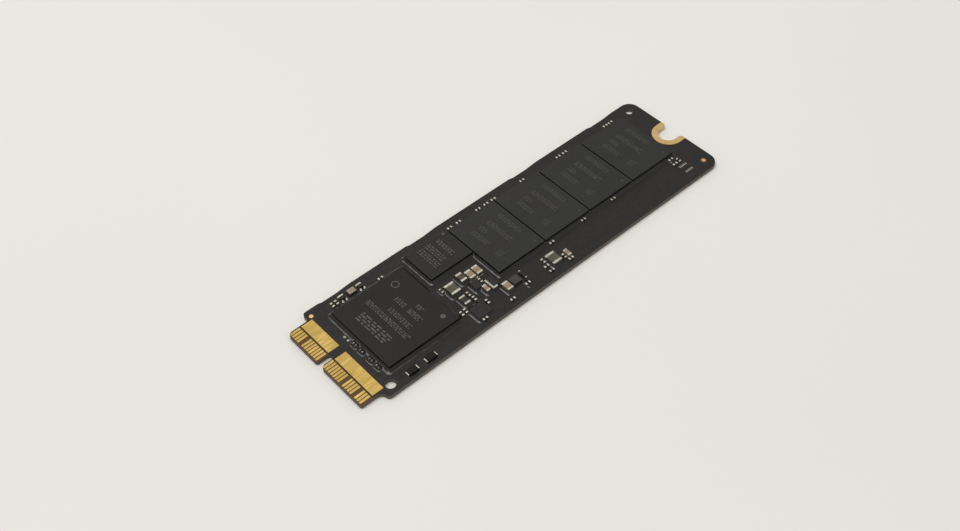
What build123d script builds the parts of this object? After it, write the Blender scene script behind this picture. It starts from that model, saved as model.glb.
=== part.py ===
from build123d import *
import os
from dataclasses import dataclass

# A bare blade solid state drive, lying flat on its label.  All sizes are in millimetres.
# +X runs from the edge connector to the screw notch, +Y runs across the board and +Z is up.
# The origin is the middle of the underside.

# ---------------------------------------------------------------- board
BOARD_LENGTH = 87.0
BOARD_WIDTH = 24.2
BOARD_THICKNESS = 0.8
MASK_THICKNESS = 0.03
LABEL_THICKNESS = 0.1
FRONT_X = -BOARD_LENGTH / 2
BACK_X = BOARD_LENGTH / 2
SIDE_Y = BOARD_WIDTH / 2
BACK_CORNER_RADIUS = 2.3

UNDERSIDE_Z = LABEL_THICKNESS
CORE_LOW_Z = UNDERSIDE_Z + MASK_THICKNESS
TOP_Z = UNDERSIDE_Z + BOARD_THICKNESS
CORE_HIGH_Z = TOP_Z - MASK_THICKNESS

# The board narrows to two tongues that carry the edge contacts.
SHOULDER_X = -39.0
SHOULDER_CORNER_RADIUS = 0.7
TONGUE_LOW_Y = -10.4
TONGUE_HIGH_Y = 10.2
TONGUE_CORNER_RADIUS = 1.0
TONGUE_SMALL_RADIUS = 0.4
ROOT_RADIUS_LOW = 1.2
ROOT_RADIUS_HIGH = 0.6
KEY_SLOT_LOW_Y = 0.67
KEY_SLOT_HIGH_Y = 1.79
KEY_SLOT_END_X = -40.7
KEY_SLOT_END_RADIUS = 0.5

# Shallow recesses left in one long edge where the board was cut out of its panel.
RECESS_START_XS = (-35.6, -15.5, 10.3, 31.3)
RECESS_LENGTH = 7.0
RECESS_DEPTH = 0.22
RECESS_STEP = 0.8
RECESS_RUN_OUT = 3.0

# ---------------------------------------------------------------- gold
GOLD_THICKNESS = 0.04
FINGER_LENGTH = 2.15
FINGER_WIDTH = 0.47
FINGER_PITCH = 0.66
FINGER_CENTRE_X = -42.18
FINGER_ZONE_X = -40.95
FINGER_CORNER_RADIUS = 0.08
HIGH_TONGUE_FIRST_Y = 9.66
HIGH_TONGUE_POSITIONS = 12
HIGH_TONGUE_MISSING = (4,)
LOW_TONGUE_FIRST_Y = 0.19
LOW_TONGUE_POSITIONS = 16
LOW_TONGUE_MISSING = (7, 12)

BAND_LOW_X = -40.75
BAND_HIGH_X = -38.4
HIGH_BAND_YS = (2.14, 9.9)
LOW_BAND_YS = (-10.0, 0.33)
MASK_CLEARANCE = 0.08

NOTCH_CENTRE = (41.96, 0.1)
NOTCH_RADIUS = 2.0
NOTCH_PLATING = 0.03
NOTCH_PAD_RADIUS = 3.2
NOTCH_TIP_RADIUS = 0.5

FIDUCIAL_RADIUS = 0.4
FIDUCIAL_OPENINGS = (((-38.1, 10.6), 0.46), ((41.38, -9.75), 0.7))

# ---------------------------------------------------------------- holes and bare pads
NEAR_HOLE_CENTRE = (-37.0, -10.15)
NEAR_HOLE_RADIUS = 1.0
FAR_HOLE_CENTRE = (41.15, 9.92)
FAR_HOLE_RADIUS = 0.85

PAD_ROW_YS = (-7.98, -9.63)
PAD_ROW_CENTRE_X = 37.42
PADS_PER_ROW = 5
PAD_PITCH = 0.4
PAD_SIZE = (0.25, 0.5)
ROUND_PADS = ((-36.6, 2.95), (-36.6, 1.95))
ROUND_PAD_RADIUS = 0.26

# ---------------------------------------------------------------- chip packages
BALL_HEIGHT = 0.2
BALL_RADIUS = 0.22
BALL_PITCH = 1.0
SUBSTRATE_THICKNESS = 0.2
MOLD_EDGE_RADIUS = 0.06
NAND_COUNT = 4
NAND_FIRST_X = -7.6
NAND_PITCH = 11.43
NAND_SIZE = (11.18, 13.9)
NAND_LOW_Y = -4.8

# ---------------------------------------------------------------- two-terminal chips
CAP_EDGE_RADIUS = 0.08
BODY_INSET = 0.03
LARGE_CAPACITORS = ((-13.27, -0.88), (-11.62, -1.43), (-9.99, -1.43), (-8.5, -7.95))
MEDIUM_CAPACITORS = ((-11.56, -5.68), (4.89, -9.35))
INDUCTORS = ((-16.14, -1.83), (2.0, -8.71))
COIL_RADIUS = 0.7
COIL_HEIGHT = 0.45
SENSE_RESISTORS = ((-16.08, -5.05),)
FUSES = ((-32.6, -10.55), (-28.5, -10.5))
FUSE_SIZE = (1.96, 1.3, 0.45)
FUSE_TAB_SIZE = (0.24, 0.95, 0.3)
FUSE_TAB_RADIUS = 0.1
SMALL_CHIPS_ALONG_Y = (
    (-18.45, -7.0), (-17.55, -6.95), (-14.65, -4.4), (-14.5, -5.85), (-13.3, -7.95),
    (-17.7, -0.6), (0.45, -7.7), (4.1, -9.4), (37.7, -6.55), (-33.9, 9.95), (-33.0, 9.95),
    (-36.35, 0.35), (-36.35, -1.55), (-36.35, -4.08), (-36.35, -6.0), (-10.95, -3.45),
)
SMALL_CHIPS_ALONG_X = (
    (-9.6, -10.55), (-16.1, -10.55), (-5.15, -9.65), (4.75, -5.45), (13.0, -5.3), (20.9, -5.3),
    (0.05, -9.05), (0.08, -10.35), (4.65, -10.62), (36.72, -5.4), (36.45, -6.86), (-23.75, 9.1),
    (-6.6, 10.0), (-4.45, 10.0), (0.38, 10.0), (2.43, 10.0), (4.28, 10.0), (11.68, 10.0),
    (21.3, 10.0), (23.05, 10.0), (34.35, 10.0), (35.78, 10.0),
)

# ---------------------------------------------------------------- other small parts
POWER_CHIP = ((-15.5, -8.7), (3.1, 2.9), 0.5)
CONVERTER_CHIP = ((-12.3, -3.93), (1.6, 1.85), 0.6)
FIRMWARE_CHIP = ((-6.4, -7.65), (1.9, 1.8), 0.5)
LEAD_FRAME_THICKNESS = 0.12
LEAD_WIDTH = 0.22
TRANSISTORS = ((-31.5, 10.15), (-27.5, 10.15))
TRANSISTOR_SIZE = (1.05, 0.7, 0.4)
TRANSISTOR_LEAD_LENGTH = 0.45
CRYSTAL_CENTRE = (-29.46, 10.25)
CRYSTAL_SIZE = (1.65, 1.3)
CRYSTAL_BASE_HEIGHT = 0.32
CRYSTAL_LID_HEIGHT = 0.1
CRYSTAL_LID_MARGIN = 0.08
DIODE_CENTRE = (-9.75, -5.3)
DIODE_SIZE = (1.35, 2.2, 0.7)
SMALL_DIODE_CENTRE = (-4.4, -7.45)
SMALL_DIODE_SIZE = (0.8, 1.45, 0.45)

# ---------------------------------------------------------------- adhesive and label
BEAD_CREST = 0.1
CONTROLLER_BEAD = (0.9, 0.4)
MEMORY_BEAD = (0.6, 0.4)
SMALL_BEAD = (0.42, 0.22)
LABEL_SIZE = (66.0, 17.0)
LABEL_CENTRE_X = 2.0
LABEL_CORNER_RADIUS = 1.0


@dataclass
class Die:
    """One silicon die: its size, its thickness and its offset from the middle of the package."""

    size_x: float
    size_y: float
    thickness: float
    offset_x: float = 0.0


@dataclass
class Package:
    """A ball grid package: its outline, mould height, ball grid and the dies in its mould."""

    low_x: float
    high_x: float
    low_y: float
    high_y: float
    mold_height: float
    ball_columns: int
    ball_rows: int
    dies: tuple

    @property
    def size(self):
        return self.high_x - self.low_x, self.high_y - self.low_y

    @property
    def centre(self):
        return (self.low_x + self.high_x) / 2, (self.low_y + self.high_y) / 2


@dataclass
class ChipKind:
    """A two-terminal chip: its length between the ends, width, height and the length of each end."""

    length: float
    width: float
    height: float
    end: float
    along_x: bool = False


LARGE_CAPACITOR = ChipKind(2.0, 1.3, 0.85, 0.45)
MEDIUM_CAPACITOR = ChipKind(1.6, 0.85, 0.7, 0.35)
INDUCTOR = ChipKind(2.55, 2.05, 0.9, 0.5)
SENSE_RESISTOR = ChipKind(2.0, 1.3, 0.5, 0.42)
SMALL_CHIP_Y = ChipKind(1.1, 0.52, 0.35, 0.34)
SMALL_CHIP_X = ChipKind(1.1, 0.52, 0.35, 0.34, along_x=True)

CONTROLLER = Package(
    -35.4, -19.7, -7.9, 8.2, 0.6, 14, 14, (Die(8.4, 8.0, 0.3),)
)
DRAM = Package(
    -17.65, -7.8, 2.13, 9.85, 0.5, 8, 6, (Die(7.2, 5.4, 0.25),)
)
NAND_DIES = tuple(Die(8.6, 11.2, 0.08, offset) for offset in (-0.6, -0.2, 0.2, 0.6))
NANDS = tuple(
    Package(
        NAND_FIRST_X + index * NAND_PITCH,
        NAND_FIRST_X + index * NAND_PITCH + NAND_SIZE[0],
        NAND_LOW_Y,
        NAND_LOW_Y + NAND_SIZE[1],
        0.6, 8, 11, NAND_DIES,
    )
    for index in range(NAND_COUNT)
)


# ---------------------------------------------------------------- small helpers
def standing_box(size_x, size_y, height, x, y, z):
    """A box whose underside is at z and whose middle is over (x, y)."""
    return Pos(x, y, z + height / 2) * Box(size_x, size_y, height)


def plate(face, low_z, high_z):
    """A flat face at z 0 made into a plate between two heights."""
    return extrude(Pos(0, 0, low_z) * face, amount=high_z - low_z)


def rectangle(low_x, high_x, low_y, high_y):
    """A rectangle between two corners."""
    middle = Pos((low_x + high_x) / 2, (low_y + high_y) / 2)
    return middle * Rectangle(high_x - low_x, high_y - low_y)


def save(name, *shapes):
    """Write one node: every solid of the given shapes, each kept apart."""
    solids = [solid for shape in shapes for solid in shape.solids()]
    export_step(Compound(solids), f"parts/{name}.step")


# ---------------------------------------------------------------- board
def recess_cutter(start_x):
    """A shallow recess: a quick step in, a flat floor and a long run out."""
    end_x = start_x + RECESS_LENGTH
    floor_y = SIDE_Y - RECESS_DEPTH
    outline = Polyline(
        (start_x, SIDE_Y + 1),
        (start_x, SIDE_Y),
        (start_x + RECESS_STEP, floor_y),
        (end_x - RECESS_RUN_OUT, floor_y),
        (end_x, SIDE_Y),
        (end_x, SIDE_Y + 1),
        close=True,
    )
    return make_face(outline)


def notch_shape(radius):
    """A U open towards the back edge, with a round bottom of the given radius."""
    centre_x, centre_y = NOTCH_CENTRE
    past_edge = BACK_X + 1
    channel = rectangle(centre_x, past_edge, centre_y - radius, centre_y + radius)
    return Pos(centre_x, centre_y) * Circle(radius) + channel


def board_outline():
    """The board seen from above, with its tongues, key slot, screw notch, holes and recesses."""
    corners = FilletPolyline(
        (FRONT_X, TONGUE_LOW_Y),
        (SHOULDER_X, TONGUE_LOW_Y),
        (SHOULDER_X, -SIDE_Y),
        (BACK_X, -SIDE_Y),
        (BACK_X, SIDE_Y),
        (SHOULDER_X, SIDE_Y),
        (SHOULDER_X, TONGUE_HIGH_Y),
        (FRONT_X, TONGUE_HIGH_Y),
        (FRONT_X, KEY_SLOT_HIGH_Y),
        (KEY_SLOT_END_X, KEY_SLOT_HIGH_Y),
        (KEY_SLOT_END_X, KEY_SLOT_LOW_Y),
        (FRONT_X, KEY_SLOT_LOW_Y),
        radius=(
            TONGUE_SMALL_RADIUS,
            ROOT_RADIUS_LOW,
            SHOULDER_CORNER_RADIUS,
            BACK_CORNER_RADIUS,
            BACK_CORNER_RADIUS,
            SHOULDER_CORNER_RADIUS,
            ROOT_RADIUS_HIGH,
            TONGUE_CORNER_RADIUS,
            TONGUE_SMALL_RADIUS,
            KEY_SLOT_END_RADIUS,
            KEY_SLOT_END_RADIUS,
            TONGUE_CORNER_RADIUS,
        ),
        close=True,
    )
    outline = make_face(corners) - notch_shape(NOTCH_RADIUS + NOTCH_PLATING)
    tips = [
        corner
        for corner in outline.vertices()
        if abs(corner.X - BACK_X) < 0.01 and abs(corner.Y) < NOTCH_PAD_RADIUS
    ]
    outline = fillet(tips, NOTCH_TIP_RADIUS)
    outline -= Pos(*NEAR_HOLE_CENTRE) * Circle(NEAR_HOLE_RADIUS)
    outline -= Pos(*FAR_HOLE_CENTRE) * Circle(FAR_HOLE_RADIUS)
    for start_x in RECESS_START_XS:
        outline -= recess_cutter(start_x)
    return outline


def finger_faces():
    """The contact fingers of both tongues, with the positions that are left empty left out."""
    finger = RectangleRounded(FINGER_LENGTH, FINGER_WIDTH, FINGER_CORNER_RADIUS)
    rows = (
        (HIGH_TONGUE_FIRST_Y, HIGH_TONGUE_POSITIONS, HIGH_TONGUE_MISSING),
        (LOW_TONGUE_FIRST_Y, LOW_TONGUE_POSITIONS, LOW_TONGUE_MISSING),
    )
    return [
        Pos(FINGER_CENTRE_X, first_y - FINGER_PITCH * position) * finger
        for first_y, positions, missing in rows
        for position in range(positions)
        if position not in missing
    ]


def band_faces(margin=0.0):
    """The wide gold bands behind the fingers, grown by a margin."""
    return [
        rectangle(BAND_LOW_X - margin, BAND_HIGH_X + margin, low_y - margin, high_y + margin)
        for low_y, high_y in (LOW_BAND_YS, HIGH_BAND_YS)
    ]


def notch_pad_face(outline, margin=0.0):
    """The gold ring round the screw notch, kept inside the board."""
    return notch_shape(NOTCH_PAD_RADIUS + margin) & outline


def bare_pad_faces(margin=0.0):
    """Tinned pads with no part on them: two rows of small ones and two round ones."""
    half_row = (PADS_PER_ROW - 1) / 2
    pad = Rectangle(PAD_SIZE[0] + 2 * margin, PAD_SIZE[1] + 2 * margin)
    pads = [
        Pos(PAD_ROW_CENTRE_X + (column - half_row) * PAD_PITCH, row_y) * pad
        for row_y in PAD_ROW_YS
        for column in range(PADS_PER_ROW)
    ]
    return pads + [Pos(*centre) * Circle(ROUND_PAD_RADIUS + margin) for centre in ROUND_PADS]


def make_board(outline):
    """The laminate, its two coats of solder mask and all the gold on it."""
    save("laminate_core", plate(outline, CORE_LOW_Z, CORE_HIGH_Z))

    finger_zone = rectangle(FRONT_X - 1, FINGER_ZONE_X, -SIDE_Y, SIDE_Y)
    shared_openings = [finger_zone, notch_pad_face(outline, MASK_CLEARANCE)]
    shared_openings += band_faces(MASK_CLEARANCE)
    mask = outline
    for opening in shared_openings:
        mask -= opening
    save("solder_mask_bottom", plate(mask, UNDERSIDE_Z, CORE_LOW_Z))
    for centre, radius in FIDUCIAL_OPENINGS:
        mask -= Pos(*centre) * Circle(radius)
    for opening in bare_pad_faces(MASK_CLEARANCE / 4):
        mask -= opening
    save("solder_mask_top", plate(mask, CORE_HIGH_Z, TOP_Z))

    gold_top = CORE_HIGH_Z + GOLD_THICKNESS
    gold_bottom = CORE_LOW_Z - GOLD_THICKNESS
    for side, low_z, high_z in (("top", CORE_HIGH_Z, gold_top), ("bottom", gold_bottom, CORE_LOW_Z)):
        save(f"contact_fingers_{side}", *[plate(face, low_z, high_z) for face in finger_faces()])
        save(f"contact_bands_{side}", *[plate(face, low_z, high_z) for face in band_faces()])

    ring = notch_pad_face(outline)
    plating = plate(ring, CORE_HIGH_Z, gold_top) + plate(ring, gold_bottom, CORE_LOW_Z)
    wall = notch_shape(NOTCH_RADIUS + NOTCH_PLATING) - notch_shape(NOTCH_RADIUS)
    wall &= rectangle(NOTCH_CENTRE[0] - NOTCH_PAD_RADIUS, BACK_X - NOTCH_TIP_RADIUS, -SIDE_Y, SIDE_Y)
    plating += plate(wall, gold_bottom, gold_top)
    save("screw_notch_plating", plating)

    dot = Circle(FIDUCIAL_RADIUS)
    dots = [plate(Pos(*centre) * dot, CORE_HIGH_Z, gold_top) for centre, _ in FIDUCIAL_OPENINGS]
    save("fiducial_dots", *dots)
    save("bare_solder_pads", *[plate(face, CORE_HIGH_Z, gold_top) for face in bare_pad_faces()])


def make_label():
    """The blank label on the underside, which the drive lies on."""
    face = Pos(LABEL_CENTRE_X, 0) * RectangleRounded(*LABEL_SIZE, LABEL_CORNER_RADIUS)
    save("label", plate(face, 0, LABEL_THICKNESS))


# ---------------------------------------------------------------- packages
def package_dies(package):
    """The stack of dies, lowest first, standing on the substrate."""
    x, y = package.centre
    z = TOP_Z + BALL_HEIGHT + SUBSTRATE_THICKNESS
    dies = []
    for die in package.dies:
        dies.append(standing_box(die.size_x, die.size_y, die.thickness, x + die.offset_x, y, z))
        z += die.thickness
    return dies


def package_mold(package, dies):
    """The moulded cap, hollow where the dies sit, with softened upper edges."""
    x, y = package.centre
    mold_z = TOP_Z + BALL_HEIGHT + SUBSTRATE_THICKNESS
    mold = standing_box(*package.size, package.mold_height, x, y, mold_z)
    mold = fillet(mold.faces().sort_by(Axis.Z)[-1].edges(), MOLD_EDGE_RADIUS)
    for die in dies:
        mold -= die
    return mold


def package_balls(package):
    """The solder balls, flattened between the board and the substrate."""
    grid = GridLocations(BALL_PITCH, BALL_PITCH, package.ball_columns, package.ball_rows)
    ball = Cylinder(BALL_RADIUS, BALL_HEIGHT)
    centre = Pos(*package.centre, TOP_Z + BALL_HEIGHT / 2)
    return [centre * place * ball for place in grid]


def make_package(name, package):
    """One package's substrate, mould and dies; its balls are returned."""
    dies = package_dies(package)
    substrate = standing_box(*package.size, SUBSTRATE_THICKNESS, *package.centre, TOP_Z + BALL_HEIGHT)
    save(f"{name}_substrate", substrate)
    save(f"{name}_mold", package_mold(package, dies))
    save(f"{name}_die", *dies)
    return package_balls(package)


def make_packages():
    """The controller, its memory and the four flash packages."""
    save("controller_solder_balls", *make_package("controller", CONTROLLER))
    save("dram_solder_balls", *make_package("dram", DRAM))
    nand_balls = []
    for index, nand in enumerate(NANDS, start=1):
        nand_balls += make_package(f"nand_{index}", nand)
    save("nand_solder_balls", *nand_balls)


# ---------------------------------------------------------------- two-terminal chips
def chip_footprint(kind):
    """A chip's size along X and along Y."""
    return (kind.length, kind.width) if kind.along_x else (kind.width, kind.length)


def chip_body(kind, place):
    """A chip's body between its two metal ends."""
    inner = kind.length - 2 * kind.end
    width = kind.width - 2 * BODY_INSET
    size = (inner, width) if kind.along_x else (width, inner)
    return standing_box(*size, kind.height - 2 * BODY_INSET, *place, TOP_Z + BODY_INSET)


def chip_ends(kind, place):
    """The two metal end caps of a chip."""
    size = (kind.end, kind.width) if kind.along_x else (kind.width, kind.end)
    shift = (kind.length - kind.end) / 2
    cap = standing_box(*size, kind.height, 0, 0, TOP_Z)
    cap = fillet(cap.edges(), min(CAP_EDGE_RADIUS, kind.end / 3))
    steps = ((shift, 0), (-shift, 0)) if kind.along_x else ((0, shift), (0, -shift))
    return [Pos(place[0] + step_x, place[1] + step_y) * cap for step_x, step_y in steps]


def make_chips(body_name, end_name, groups):
    """All chips of one sort: their bodies in one node and their ends in another."""
    bodies = [chip_body(kind, place) for kind, places in groups for place in places]
    ends = [end for kind, places in groups for place in places for end in chip_ends(kind, place)]
    save(body_name, *bodies)
    save(end_name, *ends)


def make_inductors():
    """The power inductors: a pressed core round a flat coil, and two metal ends."""
    coil = Cylinder(COIL_RADIUS, COIL_HEIGHT) - Cylinder(COIL_RADIUS / 2, COIL_HEIGHT)
    coil_z = TOP_Z + INDUCTOR.height / 2
    cores = []
    coils = []
    for place in INDUCTORS:
        winding = Pos(*place, coil_z) * coil
        coils.append(winding)
        cores.append(chip_body(INDUCTOR, place) - winding)
    save("inductor_cores", *cores)
    save("inductor_coils", *coils)
    save("inductor_ends", *[end for place in INDUCTORS for end in chip_ends(INDUCTOR, place)])


# ---------------------------------------------------------------- other small parts
def make_fuses():
    """Moulded fuses: a black body with a low metal tab against each end."""
    size_x, size_y, height = FUSE_SIZE
    bodies = []
    tabs = []
    for x, y in FUSES:
        body = standing_box(size_x, size_y, height, x, y, TOP_Z)
        bodies.append(fillet(body.faces().sort_by(Axis.Z)[-1].edges(), MOLD_EDGE_RADIUS))
        for side in (-1, 1):
            tab_x = x + side * (size_x + FUSE_TAB_SIZE[0]) / 2
            tab = standing_box(*FUSE_TAB_SIZE, tab_x, y, TOP_Z)
            tabs.append(fillet(tab.faces().sort_by(Axis.Z)[-1].edges(), FUSE_TAB_RADIUS))
    save("fuse_bodies", *bodies)
    save("fuse_ends", *tabs)


def leadless_chip(chip):
    """A small moulded chip and the row of lands along each of its two long sides."""
    (x, y), (size_x, size_y), height = chip
    body_z = TOP_Z + LEAD_FRAME_THICKNESS
    body = standing_box(size_x, size_y, height - LEAD_FRAME_THICKNESS, x, y, body_z)
    body = fillet(body.faces().sort_by(Axis.Z)[-1].edges(), MOLD_EDGE_RADIUS)
    count = int(size_x / (2 * LEAD_WIDTH))
    lands = [
        Pos(x, y, TOP_Z + LEAD_FRAME_THICKNESS / 2) * place
        * Box(LEAD_WIDTH, 2 * LEAD_WIDTH, LEAD_FRAME_THICKNESS)
        for place in GridLocations(2 * LEAD_WIDTH, size_y - 2 * LEAD_WIDTH, count, 2)
    ]
    return body, lands


def make_small_packages():
    """The power, converter and firmware chips on their lands."""
    lands = []
    chips = (("power", POWER_CHIP), ("converter", CONVERTER_CHIP), ("firmware", FIRMWARE_CHIP))
    for name, chip in chips:
        body, chip_lands = leadless_chip(chip)
        save(f"{name}_chip", body)
        lands += chip_lands
    save("small_chip_lands", *lands)


def make_transistors():
    """Three-lead transistors: one wide lead on the far side and two narrow ones on the near side."""
    size_x, size_y, height = TRANSISTOR_SIZE
    bodies = []
    leads = []
    step = (size_y + TRANSISTOR_LEAD_LENGTH) / 2
    for x, y in TRANSISTORS:
        body = standing_box(size_x, size_y, height, x, y, TOP_Z)
        bodies.append(fillet(body.faces().sort_by(Axis.Z)[-1].edges(), MOLD_EDGE_RADIUS))
        wide = standing_box(size_x, TRANSISTOR_LEAD_LENGTH, LEAD_FRAME_THICKNESS, x, y + step, TOP_Z)
        leads.append(wide)
        for side in (-1, 1):
            lead_x = x + side * (size_x - LEAD_WIDTH) / 2
            leads.append(
                standing_box(
                    LEAD_WIDTH, TRANSISTOR_LEAD_LENGTH, LEAD_FRAME_THICKNESS, lead_x, y - step, TOP_Z
                )
            )
    save("transistor_bodies", *bodies)
    save("transistor_leads", *leads)


def make_crystal():
    """The clock crystal: a ceramic base under a metal lid."""
    base = standing_box(*CRYSTAL_SIZE, CRYSTAL_BASE_HEIGHT, *CRYSTAL_CENTRE, TOP_Z)
    lid_size = [side - 2 * CRYSTAL_LID_MARGIN for side in CRYSTAL_SIZE]
    lid = standing_box(*lid_size, CRYSTAL_LID_HEIGHT, *CRYSTAL_CENTRE, TOP_Z + CRYSTAL_BASE_HEIGHT)
    lid = fillet(lid.edges().filter_by(Axis.Z), CRYSTAL_LID_MARGIN)
    save("crystal_base", base)
    save("crystal_lid", lid)


def make_diodes():
    """A power diode with two clips on its connector side, and a small diode with an end tab each way."""
    x, y = DIODE_CENTRE
    size_x, size_y, height = DIODE_SIZE
    body = standing_box(size_x, size_y, height, x, y, TOP_Z)
    small_x, small_y = SMALL_DIODE_CENTRE
    small_size_x, small_size_y, small_height = SMALL_DIODE_SIZE
    small_body = standing_box(small_size_x, small_size_y, small_height, small_x, small_y, TOP_Z)
    bodies = [fillet(b.faces().sort_by(Axis.Z)[-1].edges(), MOLD_EDGE_RADIUS) for b in (body, small_body)]
    save("diode_bodies", *bodies)

    clip_width = 0.34
    clip_length = size_y / 2 - 0.1
    clip_x = x - (size_x + clip_width) / 2
    clip_height = height - 0.05
    upper = standing_box(clip_width, clip_length, clip_height, clip_x, y + size_y / 4, TOP_Z)
    lower = standing_box(clip_width, clip_length, clip_height, clip_x, y - size_y / 4, TOP_Z)
    foot_length = 0.75
    foot_y = y - size_y / 2 - clip_width / 2
    foot_x = x - size_x / 2 + foot_length / 2
    foot = standing_box(foot_length, clip_width, clip_height, foot_x, foot_y, TOP_Z)
    corner = standing_box(clip_width, 2 * clip_width, clip_height, clip_x, foot_y + clip_width / 2, TOP_Z)
    tab_length = 0.3
    tabs = [
        standing_box(
            small_size_x / 2,
            tab_length,
            small_height / 2,
            small_x,
            small_y + side * (small_size_y + tab_length) / 2,
            TOP_Z,
        )
        for side in (-1, 1)
    ]
    save("diode_clips", upper, lower + corner + foot, *tabs)


# ---------------------------------------------------------------- adhesive
def adhesive_ring(low_x, high_x, low_y, high_y, bead):
    """A sloping bead of adhesive round a rectangle, wide at the board and narrow at its top."""
    width, height = bead
    middle = Pos((low_x + high_x) / 2, (low_y + high_y) / 2, TOP_Z)
    size_x = high_x - low_x
    size_y = high_y - low_y
    foot = RectangleRounded(size_x + 2 * width, size_y + 2 * width, width)
    crest = RectangleRounded(size_x + 2 * BEAD_CREST, size_y + 2 * BEAD_CREST, BEAD_CREST)
    mound = middle * loft([foot, Pos(0, 0, height) * crest], ruled=True)
    inside = standing_box(
        size_x, size_y, 4 * height,
        (low_x + high_x) / 2, (low_y + high_y) / 2, TOP_Z - height,
    )
    return mound - inside


def box_round(centre, size):
    """The low and high X and Y of a footprint."""
    return (
        centre[0] - size[0] / 2, centre[0] + size[0] / 2,
        centre[1] - size[1] / 2, centre[1] + size[1] / 2,
    )


def chip_groups():
    """Every two-terminal chip's kind and places."""
    return (
        (LARGE_CAPACITOR, LARGE_CAPACITORS),
        (MEDIUM_CAPACITOR, MEDIUM_CAPACITORS),
        (INDUCTOR, INDUCTORS),
        (SENSE_RESISTOR, SENSE_RESISTORS),
        (SMALL_CHIP_Y, SMALL_CHIPS_ALONG_Y),
        (SMALL_CHIP_X, SMALL_CHIPS_ALONG_X),
    )


def occupied_space():
    """Boxes round every small part, which adhesive flows round."""
    height = 2.0
    boxes = [
        standing_box(*chip_footprint(kind), height, *place, TOP_Z - height / 2)
        for kind, places in chip_groups()
        for place in places
    ]
    for centre, size, _ in (POWER_CHIP, CONVERTER_CHIP, FIRMWARE_CHIP):
        boxes.append(standing_box(*size, height, *centre, TOP_Z - height / 2))
    clip_room = 0.4
    diode_size = (DIODE_SIZE[0] + 2 * clip_room, DIODE_SIZE[1] + 2 * clip_room)
    boxes.append(standing_box(*diode_size, height, *DIODE_CENTRE, TOP_Z - height / 2))
    small_size = (SMALL_DIODE_SIZE[0], SMALL_DIODE_SIZE[1] + 2 * clip_room)
    boxes.append(standing_box(*small_size, height, *SMALL_DIODE_CENTRE, TOP_Z - height / 2))
    return boxes


def make_adhesive():
    """Underfill round the packages and edge bond round the parts beside them."""
    space = occupied_space()

    controller_ring = adhesive_ring(
        CONTROLLER.low_x, CONTROLLER.high_x, CONTROLLER.low_y, CONTROLLER.high_y, CONTROLLER_BEAD
    )
    near_controller = [box for box in space if box.center().X < CONTROLLER.high_x + 1]
    for box in near_controller:
        controller_ring -= box
    save("controller_underfill", controller_ring)

    nand_high_x = NANDS[-1].high_x
    nand_high_y = NANDS[0].high_y
    dram_ring = adhesive_ring(DRAM.low_x, DRAM.high_x, DRAM.low_y, DRAM.high_y, MEMORY_BEAD)
    nand_ring = adhesive_ring(NAND_FIRST_X, nand_high_x, NAND_LOW_Y, nand_high_y, MEMORY_BEAD)
    clear = 4 * MEMORY_BEAD[1]
    nand_block = plate(rectangle(NAND_FIRST_X, nand_high_x, NAND_LOW_Y, nand_high_y), 0, TOP_Z + clear)
    dram_block = plate(rectangle(DRAM.low_x, DRAM.high_x, DRAM.low_y, DRAM.high_y), 0, TOP_Z + clear)
    memory_ring = (dram_ring - nand_block) + (nand_ring - dram_block)
    for box in space:
        memory_ring -= box
    save("memory_underfill", memory_ring)

    held = [
        box_round(place, chip_footprint(kind))
        for kind, place in (
            (INDUCTOR, INDUCTORS[0]),
            (INDUCTOR, INDUCTORS[1]),
            (SENSE_RESISTOR, SENSE_RESISTORS[0]),
            (LARGE_CAPACITOR, LARGE_CAPACITORS[0]),
            (LARGE_CAPACITOR, LARGE_CAPACITORS[3]),
            (MEDIUM_CAPACITOR, MEDIUM_CAPACITORS[0]),
            (SMALL_CHIP_Y, (-17.7, -0.6)),
            (SMALL_CHIP_X, (-5.15, -9.65)),
        )
    ]
    held += [box_round(centre, size) for centre, size, _ in (POWER_CHIP, CONVERTER_CHIP)]
    beads = adhesive_ring(*held[0], SMALL_BEAD)
    for footprint in held[1:]:
        beads += adhesive_ring(*footprint, SMALL_BEAD)
    for box in space:
        beads -= box
    save("edge_bond_beads", beads)


def main():
    os.makedirs("parts", exist_ok=True)
    make_board(board_outline())
    make_label()
    make_packages()
    make_chips("large_capacitors", "large_capacitor_ends", [(LARGE_CAPACITOR, LARGE_CAPACITORS)])
    make_chips("medium_capacitors", "medium_capacitor_ends", [(MEDIUM_CAPACITOR, MEDIUM_CAPACITORS)])
    make_chips("sense_resistor", "sense_resistor_ends", [(SENSE_RESISTOR, SENSE_RESISTORS)])
    small_chips = [(SMALL_CHIP_Y, SMALL_CHIPS_ALONG_Y), (SMALL_CHIP_X, SMALL_CHIPS_ALONG_X)]
    make_chips("small_chips", "small_chip_ends", small_chips)
    make_inductors()
    make_fuses()
    make_small_packages()
    make_transistors()
    make_crystal()
    make_diodes()
    make_adhesive()


main()
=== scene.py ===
"""The looks of a bare blade solid state drive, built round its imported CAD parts.

Lengths in the classes and functions are millimetres, and a mesh turns into metres as it is made.
+X runs from the edge connector to the screw notch, +Y across the board, and +Z up from the floor.
"""

import logging
import math
from dataclasses import dataclass
from enum import Enum

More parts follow.
